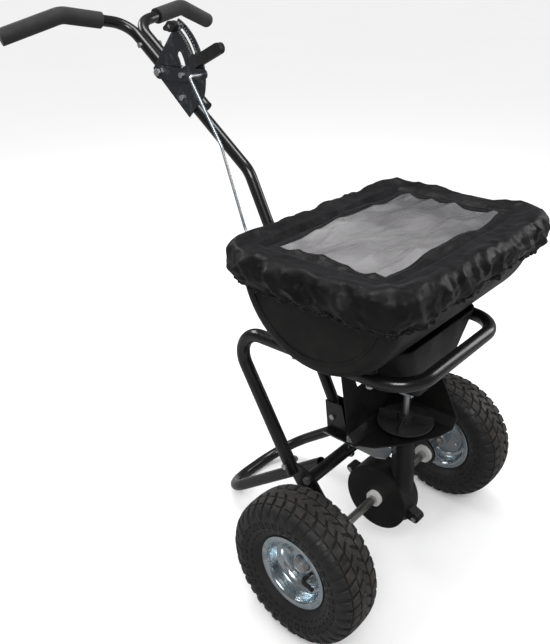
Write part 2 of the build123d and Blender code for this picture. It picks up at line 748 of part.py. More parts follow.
gate_z = 390.0
gate_sheet = 3.0
gate_front = port_front_y - 8
gate_rear = gate_pin[0] + 8
gate = block(-37, 37, gate_front, gate_rear, gate_z, gate_z + gate_sheet)
gate -= block(-7.5, 7.5, gate_front - 5, port_rear_y - 5, gate_z - 5, gate_z + 10)
gate += block(-58, -30, gate_pin[0] - 8, gate_rear, gate_z, gate_z + gate_sheet)
gate += block(-58, -55.5, gate_pin[0] - 8, gate_rear, gate_z - 6, gate_z + 18)
pin_rise = crank_pivot[1] - crank_gate_arm
gate -= block(-70, -50, gate_pin[0] - 3.6, gate_pin[0] + 3.6, pin_rise - 4, gate_pin[1] + 4)
save("gate_plate", gate)

channel = block(-46, 46, gate_front - 2, 0, gate_z - 3.2, gate_z - 0.7)
channel -= block(-port_outer_x, port_outer_x, port_front_y, port_rear_y, gate_z - 10, gate_z + 10)
for side in (-1, 1):
    channel += block(side * 37.5, side * 46, gate_front - 2, 0, gate_z - 0.7, outlet_floor_z)
save("gate_channel", channel)

# ---------------------------------------------------------------- hopper
def barrel(inset):
    """Half-barrel body with rounded ends and a short upright band on top, drawn inwards by inset."""
    radius = barrel_radius - inset
    half = hopper_half_length - inset
    rounding = barrel_rounding - inset
    y, z = barrel_centre
    profile = Pos(0, radius / 2) * Rectangle(2 * half, radius)
    profile = fillet(profile.vertices().group_by(Axis.Y)[-1], rounding)
    drum = Pos(0, y, z) * revolve(profile, axis=Axis.X)
    band = Pos(0, y, z) * extrude(RectangleRounded(2 * half, 2 * radius, rounding), rim_z - z)
    return (drum & block(-300, 300, -300, 300, 400, z)) + band


def funnel(inset):
    """Tapered throat from the barrel down to the outlet floor."""
    upper = Pos(0, -8, 505) * RectangleRounded(244 - 2 * inset, 186 - 2 * inset, 30)
    bottom_z = outlet_floor_z + (4 if inset else 0)
    lower = Pos(0, (port_front_y + port_rear_y) / 2 + 4, bottom_z)
    lower *= RectangleRounded(98 - 2 * inset, 92 - 2 * inset, 12)
    return loft([lower, upper])


hopper = barrel(0) + funnel(0)
hopper += block(-42, 42, rim_front - 1, -140, 600, rim_z)
hopper -= barrel(hopper_wall)
hopper -= funnel(hopper_wall)
lip = extrude(
    Pos(0, (rim_front + rim_rear) / 2, rim_z - 8) * RectangleRounded(2 * rim_half_length,
        rim_rear - rim_front, 50), 8)
lip -= extrude(
    Pos(0, (rim_front + rim_rear) / 2, rim_z - 12)
    * RectangleRounded(2 * (hopper_half_length - hopper_wall),
        rim_rear - rim_front - 12 - 2 * hopper_wall, 20), 20)
hopper += lip
hopper += block(lug_near, lug_far, crank_pivot[0] - 11, crank_pivot[0] + 11, crank_pivot[1], 492)
hopper += bar_x(11, lug_near, lug_far, *crank_pivot)
hopper -= bar_x(4, -80, -40, *crank_pivot)
for side in (-1, 1):
    hopper -= block(side * port_inner_x, side * port_outer_x, port_front_y, port_rear_y, 380, 402)
hopper -= bar_z(shaft_radius + 1, 380, 410, 0, shaft_y)


def end_bead(side):
    """Raised round bead on each end of the barrel."""
    y, z = barrel_centre
    x_from = side * hopper_half_length
    bead = bar_x(126, x_from - side * 1, x_from + side * 1.6, y, z)
    bead -= bar_x(122, x_from - side * 2, x_from + side * 4, y, z)
    return bead & block(-300, 300, -200, 200, 400, 640)


hopper += end_bead(-1)
hopper += end_bead(1)
for side in (-1, 1):
    for y in hopper_bolt_ys:
        rise = barrel_centre[1] - math.sqrt(barrel_radius**2 - (y - barrel_centre[0]) ** 2)
        pad = bar_z(11, side_bar_z(y) + frame_radius + 0.4, rise + 2, side * frame_half_width, y)
        hopper += pad - barrel(1)
        hopper -= bar_z(3, 470, 495, side * frame_half_width, y)
save("hopper", hopper)


def screw_up(x, y, under, length):
    """A hexagon-headed screw driven upwards from its head at z under."""
    return bar_z(3, under, under + length, x, y) + hexagon_z(10, under - 4, under, x, y)


hopper_bolts = []
for side in (-1, 1):
    x = side * frame_half_width
    for y in hopper_bolt_ys:
        hopper_bolts.append(screw_up(x, y, side_bar_z(y) - frame_radius - 0.3, 38))
    hopper_bolts.append(screw_up(x, guard_rear_y + 1, 450.4, 19.6))
save("hopper_bolts", *hopper_bolts)

# ---------------------------------------------------------------- rain cover
def cap(inset, z_from, z_to):
    y = (cover_front + cover_rear) / 2
    face = RectangleRounded(2 * (cover_half_length - inset), cover_rear - cover_front - 2 * inset,
        56 - inset)
    return extrude(Pos(0, y, z_from) * face, z_to - z_from)


window_y = (window_front + window_rear) / 2
window_size = (2 * window_half_length, window_rear - window_front)
opening = extrude(Pos(0, window_y, cover_top - 10) * RectangleRounded(*window_size, 6), 30)
cover = cap(0, cover_hem, cover_top) - cap(cover_sheet, cover_hem - 5, cover_top - cover_sheet) - opening
save("rain_cover", cover)
window = extrude(
    Pos(0, window_y, cover_top - cover_sheet) * RectangleRounded(window_size[0] - 0.6,
        window_size[1] - 0.6, 6),
    cover_sheet)
save("cover_window", window)
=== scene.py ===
import json
import math

import bpy
import numpy as np
from mathutils import Matrix, Vector, noise


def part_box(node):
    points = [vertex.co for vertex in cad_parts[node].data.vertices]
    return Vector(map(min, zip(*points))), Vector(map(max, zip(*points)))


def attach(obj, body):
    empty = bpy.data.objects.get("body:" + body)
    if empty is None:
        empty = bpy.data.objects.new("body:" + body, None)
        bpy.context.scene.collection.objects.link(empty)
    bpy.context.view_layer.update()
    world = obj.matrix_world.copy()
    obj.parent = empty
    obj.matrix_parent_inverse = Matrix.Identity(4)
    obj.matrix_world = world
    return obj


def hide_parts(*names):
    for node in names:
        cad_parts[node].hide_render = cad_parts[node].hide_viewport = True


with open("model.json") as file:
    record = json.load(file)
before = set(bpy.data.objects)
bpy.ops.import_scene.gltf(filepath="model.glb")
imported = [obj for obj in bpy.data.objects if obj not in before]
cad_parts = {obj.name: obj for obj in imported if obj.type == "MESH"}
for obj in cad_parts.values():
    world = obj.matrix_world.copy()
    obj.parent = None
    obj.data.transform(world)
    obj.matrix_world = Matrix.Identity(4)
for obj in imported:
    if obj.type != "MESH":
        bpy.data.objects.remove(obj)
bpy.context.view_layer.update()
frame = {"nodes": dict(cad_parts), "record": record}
nodes = frame["nodes"]


# ---------------------------------------------------------------- node materials
class Finish:
    """A node material around one Principled shader, with object coordinates in metres."""

    def __init__(self, name, colour, roughness, metallic=0.0, **inputs):
        self.material = bpy.data.materials.new(name)
        self.material.use_nodes = True
        self.tree = self.material.node_tree
        self.shader = self.tree.nodes["Principled BSDF"]
        self.coords = self.tree.nodes.new("ShaderNodeTexCoord").outputs["Object"]
        self.shader.inputs["Base Color"].default_value = (*colour, 1)
        self.shader.inputs["Roughness"].default_value = roughness
        self.shader.inputs["Metallic"].default_value = metallic
        for key, value in inputs.items():
            self.shader.inputs[key.replace("_", " ")].default_value = value

    def link(self, output, target):
        if isinstance(target, str):
            target = self.shader.inputs[target]
        self.tree.links.new(output, target)

    def feed(self, socket, value):
        if hasattr(value, "is_linked"):
            self.tree.links.new(value, socket)
        else:
            socket.default_value = value

    def stretched(self, scale, vector=None):
        mapping = self.tree.nodes.new("ShaderNodeMapping")
        mapping.inputs["Scale"].default_value = scale
        self.link(vector or self.coords, mapping.inputs["Vector"])
        return mapping.outputs["Vector"]

    def noise(self, scale, detail=3.0, rough=0.5, distortion=0.0, vector=None):
        node = self.tree.nodes.new("ShaderNodeTexNoise")
        node.inputs["Scale"].default_value = scale
        node.inputs["Detail"].default_value = detail
        node.inputs["Roughness"].default_value = rough
        node.inputs["Distortion"].default_value = distortion
        self.link(vector or self.coords, node.inputs["Vector"])
        return node.outputs["Fac"]

    def cells(self, scale, feature="F1", vector=None):
        node = self.tree.nodes.new("ShaderNodeTexVoronoi")
        node.feature = feature
        node.inputs["Scale"].default_value = scale
        self.link(vector or self.coords, node.inputs["Vector"])
        return node.outputs["Distance"]

    def maths(self, operation, first, second=0.0, clamp=False):
        node = self.tree.nodes.new("ShaderNodeMath")
        node.operation = operation
        node.use_clamp = clamp
        self.feed(node.inputs[0], first)
        self.feed(node.inputs[1], second)
        return node.outputs["Value"]

    def span(self, value, low, high, to_low=0.0, to_high=1.0):
        node = self.tree.nodes.new("ShaderNodeMapRange")
        node.clamp = True
        self.feed(node.inputs["Value"], value)
        for key, number in (("From Min", low), ("From Max", high), ("To Min", to_low), ("To Max", to_high)):
            node.inputs[key].default_value = number
        return node.outputs["Result"]

    def mix(self, factor, first, second):
        node = self.tree.nodes.new("ShaderNodeMix")
        node.data_type = "RGBA"
        self.feed(node.inputs["Factor"], factor)
        for socket, colour in zip((node.inputs[6], node.inputs[7]), (first, second)):
            self.feed(socket, (*colour, 1) if isinstance(colour, tuple) else colour)
        return node.outputs[2]

    def split(self, vector=None):
        node = self.tree.nodes.new("ShaderNodeSeparateXYZ")
        self.link(vector or self.coords, node.inputs["Vector"])
        return node.outputs

    def bump(self, height, strength, distance, below=None):
        node = self.tree.nodes.new("ShaderNodeBump")
        node.inputs["Strength"].default_value = strength
        node.inputs["Distance"].default_value = distance
        self.link(height, node.inputs["Height"])
        if below is not None:
            self.link(below, node.inputs["Normal"])
        return node.outputs["Normal"]

    def soft_edges(self, radius):
        node = self.tree.nodes.new("ShaderNodeBevel")
        node.samples = 4
        node.inputs["Radius"].default_value = radius
        return node.outputs["Normal"]

    def vary_roughness(self, value, low, high, start=0.35, end=0.65):
        self.link(self.span(value, start, end, low, high), "Roughness")

    def axle_radius(self):
        """Distance from the axle line, which runs along X."""
        x, y, z = self.split()
        across = self.maths("SUBTRACT", y, axle_middle.y)
        height = self.maths("SUBTRACT", z, axle_middle.z)
        across_squared = self.maths("MULTIPLY", across, across)
        height_squared = self.maths("MULTIPLY", height, height)
        return self.maths("SQRT", self.maths("ADD", across_squared, height_squared))


axle_low, axle_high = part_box("axle")
axle_middle = (axle_low + axle_high) / 2


def black_paint():
    f = Finish("black_paint", (0.0045, 0.0045, 0.0048), 0.3, Coat_Weight=0.55, Coat_Roughness=0.1)
    cloud = f.noise(14, 4)
    specks = f.span(f.noise(420, 2), 0.70, 0.78)
    f.link(f.mix(specks, (0.0042, 0.0042, 0.0045), (0.018, 0.0175, 0.017)), "Base Color")
    f.vary_roughness(cloud, 0.22, 0.36)
    peel = f.bump(f.noise(260, 2), 0.10, 0.0004)
    f.link(f.bump(f.noise(38, 2), 0.06, 0.002, peel), "Normal")
    return f.material


def moulded(name, colour, light, low, high, grain=900.0, depth=0.10, wave=0.12):
    """Moulded plastic: fine spark texture, slow waviness and a little dust."""
    f = Finish(name, colour, (low + high) / 2, IOR=1.5)
    f.shader.inputs["Specular IOR Level"].default_value = 0.34
    dust = f.span(f.noise(30, 6, 0.62), 0.46, 0.74)
    f.link(f.mix(dust, colour, light), "Base Color")
    f.vary_roughness(f.noise(22, 4), low, high)
    slow = f.bump(f.noise(9, 2), wave, 0.006, f.soft_edges(0.0012))
    f.link(f.bump(f.cells(grain), depth, 0.0005, slow), "Normal")
    return f.material


def zinc():
    f = Finish("zinc_plate", (0.66, 0.70, 0.74), 0.28, 1.0)
    tint = f.noise(16, 5, 0.6, 0.6)
    f.link(f.mix(f.span(tint, 0.35, 0.68), (0.50, 0.57, 0.64), (0.78, 0.80, 0.80)), "Base Color")
    f.vary_roughness(f.noise(60, 5, 0.65), 0.28, 0.42)
    grain = f.noise(1, 3, 0.6, vector=f.stretched((120, 1400, 1400)))
    f.link(f.bump(grain, 0.02, 0.0003, f.soft_edges(0.0006)), "Normal")
    return f.material


def pressed_zinc():
    """Bright passivated rim: turned rings about the axle, a bluish tint and cloudy plating."""
    f = Finish("zinc_plate_rim", (0.68, 0.74, 0.78), 0.2, 1.0)
    radius = f.axle_radius()
    rings = f.maths("SINE", f.maths("MULTIPLY", radius, 9000.0))
    cloud = f.noise(26, 5, 0.6, 0.8)
    f.link(f.mix(f.span(cloud, 0.34, 0.70), (0.46, 0.56, 0.62), (0.82, 0.86, 0.88)), "Base Color")
    f.vary_roughness(f.noise(90, 4, 0.6), 0.14, 0.30)
    faint = f.bump(rings, 0.015, 0.0003)
    f.link(f.bump(f.noise(34, 3), 0.08, 0.002, faint), "Normal")
    return f.material


def steel():
    f = Finish("steel", (0.60, 0.61, 0.63), 0.26, 1.0)
    lathe = f.noise(1, 2, 0.5, vector=f.stretched((900, 40, 40)))
    stain = f.noise(45, 5, 0.65)
    f.link(f.mix(f.span(stain, 0.50, 0.78), (0.56, 0.55, 0.54), (0.34, 0.31, 0.28)), "Base Color")
    f.vary_roughness(lathe, 0.30, 0.44)
    f.link(f.bump(lathe, 0.03, 0.0002, f.soft_edges(0.0005)), "Normal")
    return f.material


def fastener():
    f = Finish("fastener", (0.74, 0.75, 0.77), 0.24, 1.0)
    cloud = f.noise(240, 4, 0.6)
    f.link(f.mix(f.span(cloud, 0.4, 0.7), (0.60, 0.63, 0.66), (0.86, 0.85, 0.82)), "Base Color")
    f.vary_roughness(f.noise(500, 3), 0.28, 0.42)
    f.link(f.bump(f.noise(900, 2), 0.08, 0.0003, f.soft_edges(0.0007)), "Normal")
    return f.material


def dark_plate():
    """Blackened gun-metal sheet, brushed along Z, rubbed brighter in places."""
    f = Finish("quadrant_metal", (0.10, 0.105, 0.115), 0.4, 0.9)
    brush = f.noise(1, 3, 0.6, vector=f.stretched((600, 1200, 60)))
    rubbed = f.span(f.noise(55, 5, 0.7), 0.52, 0.76)
    f.link(f.mix(rubbed, (0.085, 0.09, 0.10), (0.27, 0.28, 0.30)), "Base Color")
    f.vary_roughness(brush, 0.28, 0.46)
    f.link(f.bump(brush, 0.10, 0.0002, f.soft_edges(0.0006)), "Normal")
    return f.material


def tyre_rubber():
    """Brownish black rubber, duller and dustier on top of the tread, faint mould lines on the wall."""
    f = Finish("tyre_rubber", (0.013, 0.0115, 0.011), 0.6, Sheen_Weight=0.06, Sheen_Roughness=0.5)
    radius = f.axle_radius()
    worn = f.maths("MULTIPLY", f.span(radius, 0.1215, 0.1285), f.span(f.noise(60, 5, 0.65), 0.34, 0.66))
    scuffed = f.maths("MAXIMUM", worn, f.span(f.noise(26, 6, 0.7), 0.56, 0.80, 0.0, 0.45))
    f.link(f.mix(scuffed, (0.0095, 0.009, 0.009), (0.034, 0.029, 0.025)), "Base Color")
    f.vary_roughness(f.noise(80, 4, 0.6), 0.42, 0.66)
    rings = f.maths("SINE", f.maths("MULTIPLY", radius, 3200.0))
    wall = f.maths("MULTIPLY", rings, f.span(radius, 0.066, 0.070, 0.0, 1.0))
    lines = f.bump(wall, 0.05, 0.0004, f.soft_edges(0.0007))
    f.link(f.bump(f.noise(700, 3, 0.6), 0.22, 0.0005, lines), "Normal")
    return f.material


def valve_rubber():
    f = Finish("valve_rubber", (0.016, 0.015, 0.015), 0.5)
    f.vary_roughness(f.noise(200, 3), 0.4, 0.62)
    f.link(f.bump(f.noise(1100, 3), 0.2, 0.0004), "Normal")
    return f.material


def foam():
    """Closed-cell foam sleeve with a fine pitted skin, and painted shade darkening the bottom of each pit.
    """
    f = Finish("grip_foam", (0.012, 0.012, 0.0125), 0.8, Sheen_Weight=0.12, Sheen_Roughness=0.4)
    pits = f.cells(1300)
    # painted shade: the foam colour darkens towards the bottom of each pit, where the bump below sinks
    f.link(f.mix(f.span(pits, 0.1, 0.55), (0.007, 0.007, 0.007), (0.022, 0.0215, 0.022)), "Base Color")
    f.vary_roughness(f.noise(40, 3), 0.66, 0.84)
    slow = f.bump(f.noise(46, 2), 0.20, 0.003)
    f.link(f.bump(pits, 0.45, 0.0006, slow), "Normal")
    return f.material


def nylon():
    """Coated black nylon: fine plain weave, crisp creases and a faint cool sheen along the folds."""
    f = Finish("cover_fabric", (0.008, 0.0075, 0.0085), 0.5, Sheen_Weight=0.05, Sheen_Roughness=0.35)
    f.shader.inputs["Sheen Tint"].default_value = (0.72, 0.68, 0.78, 1)
    uv = f.tree.nodes.new("ShaderNodeTexCoord").outputs["UV"]
    u, v, _ = f.split(uv)
    warp = f.maths("SINE", f.maths("MULTIPLY", u, 7200.0))
    weft = f.maths("SINE", f.maths("MULTIPLY", v, 7200.0))
    tone = f.noise(26, 5, 0.6)
    f.link(f.mix(f.span(tone, 0.36, 0.68), (0.0035, 0.0033, 0.0038), (0.0085, 0.008, 0.0094)), "Base Color")
    f.vary_roughness(tone, 0.36, 0.54)
    f.shader.inputs["Specular IOR Level"].default_value = 0.24
    creased = f.bump(f.cells(46), 0.40, 0.004, f.bump(f.noise(24, 3, 0.5, 0.8), 0.35, 0.006))
    fine = f.bump(f.noise(160, 3, 0.6), 0.12, 0.0012, creased)
    f.link(f.bump(f.maths("MULTIPLY", warp, weft), 0.08, 0.0002, fine), "Normal")
    return f.material


def film():
    """Soft grey PVC film, half clear, folded from its packing, with painted shade darkening it towards its
    far end.
    """
    f = Finish("cover_film", (0.20, 0.195, 0.20), 0.3, Coat_Weight=0.3, Coat_Roughness=0.15, IOR=1.5)
    x, _, _ = f.split()
    # painted shade: the film's colour is ramped from the lighter near tone to a darker tone at the far end
    far = f.span(x, -0.06, 0.12)
    haze = f.noise(9, 4, 0.6, 0.5)
    near_tone = f.mix(f.span(haze, 0.32, 0.70), (0.165, 0.16, 0.165), (0.265, 0.26, 0.265))
    far_painted_shade_tone = f.mix(f.span(haze, 0.32, 0.66), (0.055, 0.053, 0.057), (0.165, 0.16, 0.165))
    f.link(f.mix(far, near_tone, far_painted_shade_tone), "Base Color")
    f.vary_roughness(haze, 0.20, 0.36)
    f.link(f.span(haze, 0.3, 0.7, 0.86, 0.96), "Alpha")
    long_folds = f.noise(1, 2, 0.5, 1.4, vector=f.stretched((9, 26, 12)))
    folds = f.bump(long_folds, 0.55, 0.012)
    packed = f.bump(f.cells(9, "DISTANCE_TO_EDGE", f.stretched((0.8, 1.3, 1.0))), 0.35, 0.010, folds)
    f.link(f.bump(f.cells(34), 0.12, 0.003, packed), "Normal")
    return f.material


def thread():
    f = Finish("stitch_thread", (0.022, 0.021, 0.023), 0.7)
    twist = f.noise(1, 2, vector=f.stretched((2600, 2600, 900)))
    f.link(f.mix(twist, (0.012, 0.012, 0.013), (0.045, 0.043, 0.047)), "Base Color")
    f.link(f.bump(twist, 0.4, 0.0003), "Normal")
    return f.material


def scale_ink():
    f = Finish("scale_ink", (0.72, 0.73, 0.74), 0.6)
    wear = f.span(f.noise(900, 4, 0.7), 0.42, 0.62)
    f.link(f.mix(wear, (0.34, 0.35, 0.36), (0.80, 0.81, 0.82)), "Base Color")
    f.link(f.bump(f.noise(1500, 2), 0.2, 0.0002), "Normal")
    return f.material


def bearing_brass():
    f = Finish("bearing_brass", (0.55, 0.43, 0.26), 0.32, 0.9)
    cloud = f.noise(300, 4, 0.6)
    f.link(f.mix(f.span(cloud, 0.4, 0.68), (0.40, 0.31, 0.19), (0.70, 0.60, 0.42)), "Base Color")
    f.vary_roughness(cloud, 0.26, 0.46)
    f.link(f.bump(f.noise(1400, 2), 0.12, 0.0002), "Normal")
    return f.material


finishes = {
    "black_paint": black_paint(),
    "hopper_plastic": moulded(
        "hopper_plastic", (0.006, 0.0055, 0.0052), (0.012, 0.011, 0.010), 0.40, 0.54, 1100, 0.12),
    "gearbox_plastic": moulded(
        "gearbox_plastic", (0.0065, 0.0065, 0.0065), (0.013, 0.0125, 0.012), 0.34, 0.50, 1300, 0.10),
    "guard_plastic": moulded(
        "guard_plastic", (0.007, 0.0067, 0.0065), (0.014, 0.013, 0.0125), 0.36, 0.52, 1000, 0.10),
    "impeller_plastic": moulded(
        "impeller_plastic", (0.014, 0.014, 0.015), (0.028, 0.027, 0.026), 0.42, 0.60),
    "gear_plastic": moulded("gear_plastic", (0.55, 0.53, 0.47), (0.66, 0.64, 0.58), 0.34, 0.50),
    "bush_plastic": moulded("bush_plastic", (0.60, 0.60, 0.58), (0.72, 0.72, 0.70), 0.34, 0.50),
    "knob_plastic": moulded("knob_plastic", (0.012, 0.012, 0.012), (0.026, 0.025, 0.025), 0.36, 0.52),
    "zinc_plate": zinc(),
    "steel": steel(),
    "fastener": fastener(),
    "quadrant_metal": dark_plate(),
    "tyre_rubber": tyre_rubber(),
    "valve_rubber": valve_rubber(),
    "grip_foam": foam(),
    "cover_fabric": nylon(),
    "cover_film": film(),
}
rim_finish = pressed_zinc()


for subpart in frame["record"]["subparts"]:
    finish = finishes[subpart["material_slot"]]
    if "_rim_" in subpart["node"]:
        finish = rim_finish
    cad = nodes[subpart["node"]]
    cad.data.materials.clear()
    cad.data.materials.append(finish)


# ---------------------------------------------------------------- mesh helpers
def piece(name, points, faces, finish, body, smooth=True):
    mesh = bpy.data.meshes.new(name)
    mesh.from_pydata([tuple(p) for p in points], [], faces)
    mesh.validate()
    mesh.update()
    for polygon in mesh.polygons:
        polygon.use_smooth = smooth
    made = bpy.data.objects.new(name, mesh)
    bpy.context.scene.collection.objects.link(made)
    mesh.materials.append(finish)
    if body:
        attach(made, body)
    return made


class Shells:
    """Collects closed shells into one mesh."""

    def __init__(self):
        self.points = []
        self.faces = []

    def add(self, points, faces):
        start = len(self.points)
        self.points += [tuple(p) for p in points]
        self.faces += [tuple(start + i for i in face) for face in faces]

    def loft(self, rings, closed_ends=True, closed_loop=False):
        """Skin a list of equal rings of points."""
        count = len(rings[0])
        points = [p for ring in rings for p in ring]
        faces = []
        total = len(rings) if closed_loop else len(rings) - 1
        for a in range(total):
            b = (a + 1) % len(rings)
            for i in range(count):
                j = (i + 1) % count
                faces.append((a * count + i, a * count + j, b * count + j, b * count + i))
        if closed_ends and not closed_loop:
            faces.append(tuple(reversed(range(count))))
            faces.append(tuple((len(rings) - 1) * count + i for i in range(count)))
        self.add(points, faces)


def smooth_curve(points, count):
    """Catmull-Rom curve through 2-D or 3-D points, resampled to equal lengths."""
    pts = np.array(points, float)
    ends = np.vstack([2 * pts[0] - pts[1], pts, 2 * pts[-1] - pts[-2]])
    dense = []
    for a, b, c, d in zip(ends, ends[1:], ends[2:], ends[3:]):
        for t in np.linspace(0, 1, 16, endpoint=False):
            dense.append(0.5 * (2 * b + (c - a) * t + (2 * a - 5 * b + 4 * c - d) * t**2
                                + (3 * b - a - 3 * c + d) * t**3))
    dense.append(pts[-1])
    return resample(np.array(dense), count)


def resample(points, count):
    steps = np.linalg.norm(np.diff(points, axis=0), axis=1)
    along = np.concatenate([[0], np.cumsum(steps)])
    wanted = np.linspace(0, along[-1], count)
    return np.stack([np.interp(wanted, along, points[:, k]) for k in range(points.shape[1])], axis=1)


def about_axle(x, radius, angle):
    return Vector((x, axle_middle.y + radius * math.cos(angle), axle_middle.z + radius * math.sin(angle)))


def revolve(profile, centre_x, side, segments):
    """Rings of (outward distance, radius) points turned about the axle."""
    rings = []
    for k in range(segments):
        angle = 2 * math.pi * k / segments
        rings.append([about_axle(centre_x + side * out, radius, angle) for out, radius in profile])
    shells = Shells()
    shells.loft(rings, closed_loop=True)
    return shells


# ---------------------------------------------------------------- tyres
class Tread:
    """The outside of a tyre: a half section from the crown to the bead, and lugs laid on it."""

    pitches = 38
    lug_height = 0.0043
    lug_edge = 0.0011
    lug_root = -0.0015
    crown_radius = 0.126
    half_section = [
        (0, 125.8), (15, 125.2), (27, 123.2), (35.5, 119.4), (41, 113.5), (43.8, 106), (44.6, 97),
        (43.0, 88), (38.5, 79), (32, 71.5), (28.2, 67),
    ]

    def __init__(self, centre_x):
        self.centre_x = centre_x
        self.curve = smooth_curve(self.half_section, 60) / 1000
        steps = np.linalg.norm(np.diff(self.curve, axis=0), axis=1)
        self.along = np.concatenate([[0], np.cumsum(steps)])
        self.shells = Shells()

    def point(self, angle, arc, height):
        """A point at an arc distance from the crown, signed by side, and a height above the rubber."""
        side = 1 if arc >= 0 else -1
        distance = abs(arc)
        out, radius = (np.interp(distance, self.along, self.curve[:, k]) for k in (0, 1))
        back, ahead = (np.array([np.interp(distance + step, self.along, self.curve[:, k]) for k in (0, 1)])
                       for step in (-0.001, 0.001))
        tangent = (ahead - back) / max(np.linalg.norm(ahead - back), 1e-9)
        normal = (-tangent[1], tangent[0]) if distance > 0.0005 else (0.0, 1.0)
        x = self.centre_x + side * (out + normal[0] * height)
        return about_axle(x, radius + normal[1] * height, angle)

    def lug(self, angle, half_angles, arcs, heights, skew=0.0):
        """A raised block with soft shoulders, whose width, height and skew run along its arc."""
        edge = self.lug_edge
        arc_from, arc_to = arcs
        rows = max(2, round(abs(arc_to - arc_from) / 0.006))
        inner = np.linspace(0, 1, rows + 1)
        shoulder = edge / abs(arc_to - arc_from)
        between = [share for share in inner if shoulder < share < 1 - shoulder]
        shares = [0.0, shoulder, *between, 1 - shoulder, 1.0]
        step = edge / self.crown_radius
        rings = []
        for row, share in enumerate(shares):
            arc = arc_from + (arc_to - arc_from) * share
            half = half_angles[0] + (half_angles[1] - half_angles[0]) * share
            height = heights[0] + (heights[1] - heights[0]) * share
            middle = angle + skew * (share - 0.5)
            columns = (-half, -half + step, 0.0, half - step, half)
            line = []
            for column, offset in enumerate(columns):
                outer = row in (0, len(shares) - 1) or column in (0, 4)
                rounding = (edge if outer else 0) * min(1, height / 0.003)
                line.append(self.point(middle + offset, arc, height - rounding))
            line.append(self.point(middle + half, arc, self.lug_root))
            line.append(self.point(middle - half, arc, self.lug_root))
            rings.append(line)
        self.shells.loft(rings)

    def crown_lugs(self, angle, late, pitch):
        """Two slanted blocks that meet along the middle of the tread."""
        halves = (0.40 * pitch, 0.34 * pitch)
        heights = (self.lug_height, self.lug_height)
        self.lug(angle, halves, (-0.0015, 0.0120), heights, skew=0.50 * pitch)
        self.lug(late, halves, (0.0015, -0.0120), heights, skew=0.50 * pitch)

    def side_lugs(self, way, near, pitch, foot):
        """One side's inner block, its shoulder block reaching down to the foot, and the sidewall marks."""
        self.lug(near, (0.41 * pitch, 0.34 * pitch), (way * 0.0142, way * 0.0290),
                 (self.lug_height, 0.0040), skew=-way * 0.25 * pitch)
        self.lug(near + 0.12 * pitch, (0.36 * pitch, 0.26 * pitch), (way * 0.0310, way * foot),
                 (0.0040, 0.0012), skew=way * 0.06 * pitch)
        for part in (-0.25, 0.25):
            self.lug(near + part * pitch, (0.045 * pitch, 0.045 * pitch), (way * 0.0590, way * 0.0700),
                     (0.0010, 0.0008))
        for arc in (0.0590, 0.0692):
            self.lug(near, (0.25 * pitch, 0.25 * pitch), (way * arc, way * (arc + 0.0016)),
                     (0.0009, 0.0009))
        self.lug(near + 0.5 * pitch, (0.22 * pitch, 0.22 * pitch), (way * 0.0780, way * 0.0796),
                 (0.0008, 0.0008))


def build_tyre(side, word, body):
    low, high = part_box(f"{word}_tyre")
    centre_x = (low.x + high.x) / 2
    tread = Tread(centre_x)
    outside = [tuple(p) for p in tread.curve]
    mirrored = [(-out, radius) for out, radius in reversed(outside[1:])]
    lining = [(0.0265, 0.0590), (0.0180, 0.0590), (0.0200, 0.0700), (0.0370, 0.0930), (0.0340, 0.1120),
              (0.0, 0.1200)]
    lining += [(-out, radius) for out, radius in reversed(lining[:-1])]
    carcass = revolve(mirrored + outside + lining, centre_x, side, 120)
    tread.shells.add(carcass.points, carcass.faces)
    pitch = 2 * math.pi / tread.pitches
    for k in range(tread.pitches):
        angle = k * pitch
        late = angle + pitch / 2
        tread.crown_lugs(angle, late, pitch)
        for way, near in ((1, late), (-1, angle)):
            tread.side_lugs(way, near, pitch, 0.0555 if k % 2 == 0 else 0.0485)
    made = piece(f"{word}_tyre_tread", tread.shells.points, tread.shells.faces, finishes["tyre_rubber"],
                 body)
    made.data.set_sharp_from_angle(angle=math.radians(42))
    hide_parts(f"{word}_tyre")


# ---------------------------------------------------------------- wheel centres
def bolt_angle(word):
    """The first wheel bolt's angle about the axle, from the CAD bolts, which repeat every quarter turn."""
    total = Vector((0, 0))
    for vertex in nodes[f"{word}_wheel_bolts"].data.vertices:
        angle = 4 * math.atan2(vertex.co.z - axle_middle.z, vertex.co.y - axle_middle.y)
        total += Vector((math.cos(angle), math.sin(angle)))
    return math.atan2(total.y, total.x) / 4


def pressed_face(out, radius, angle, bolts_at):
    """Pushes the middle of the rim in between the four bolt lobes, and rolls a bead round the hub."""
    lobe = 0.0275 + 0.0085 * math.cos(4 * (angle - bolts_at))
    share = min(1.0, max(0.0, (radius - lobe) / 0.0035))
    valley = share * share * (3 - 2 * share)
    if radius > 0.0415:
        return out
    fade = min(1.0, (0.0415 - radius) / 0.002)
    bead = 0.0009 * math.exp(-((radius - 0.0178) / 0.0013) ** 2)
    return out - 0.0019 * valley * fade + bead


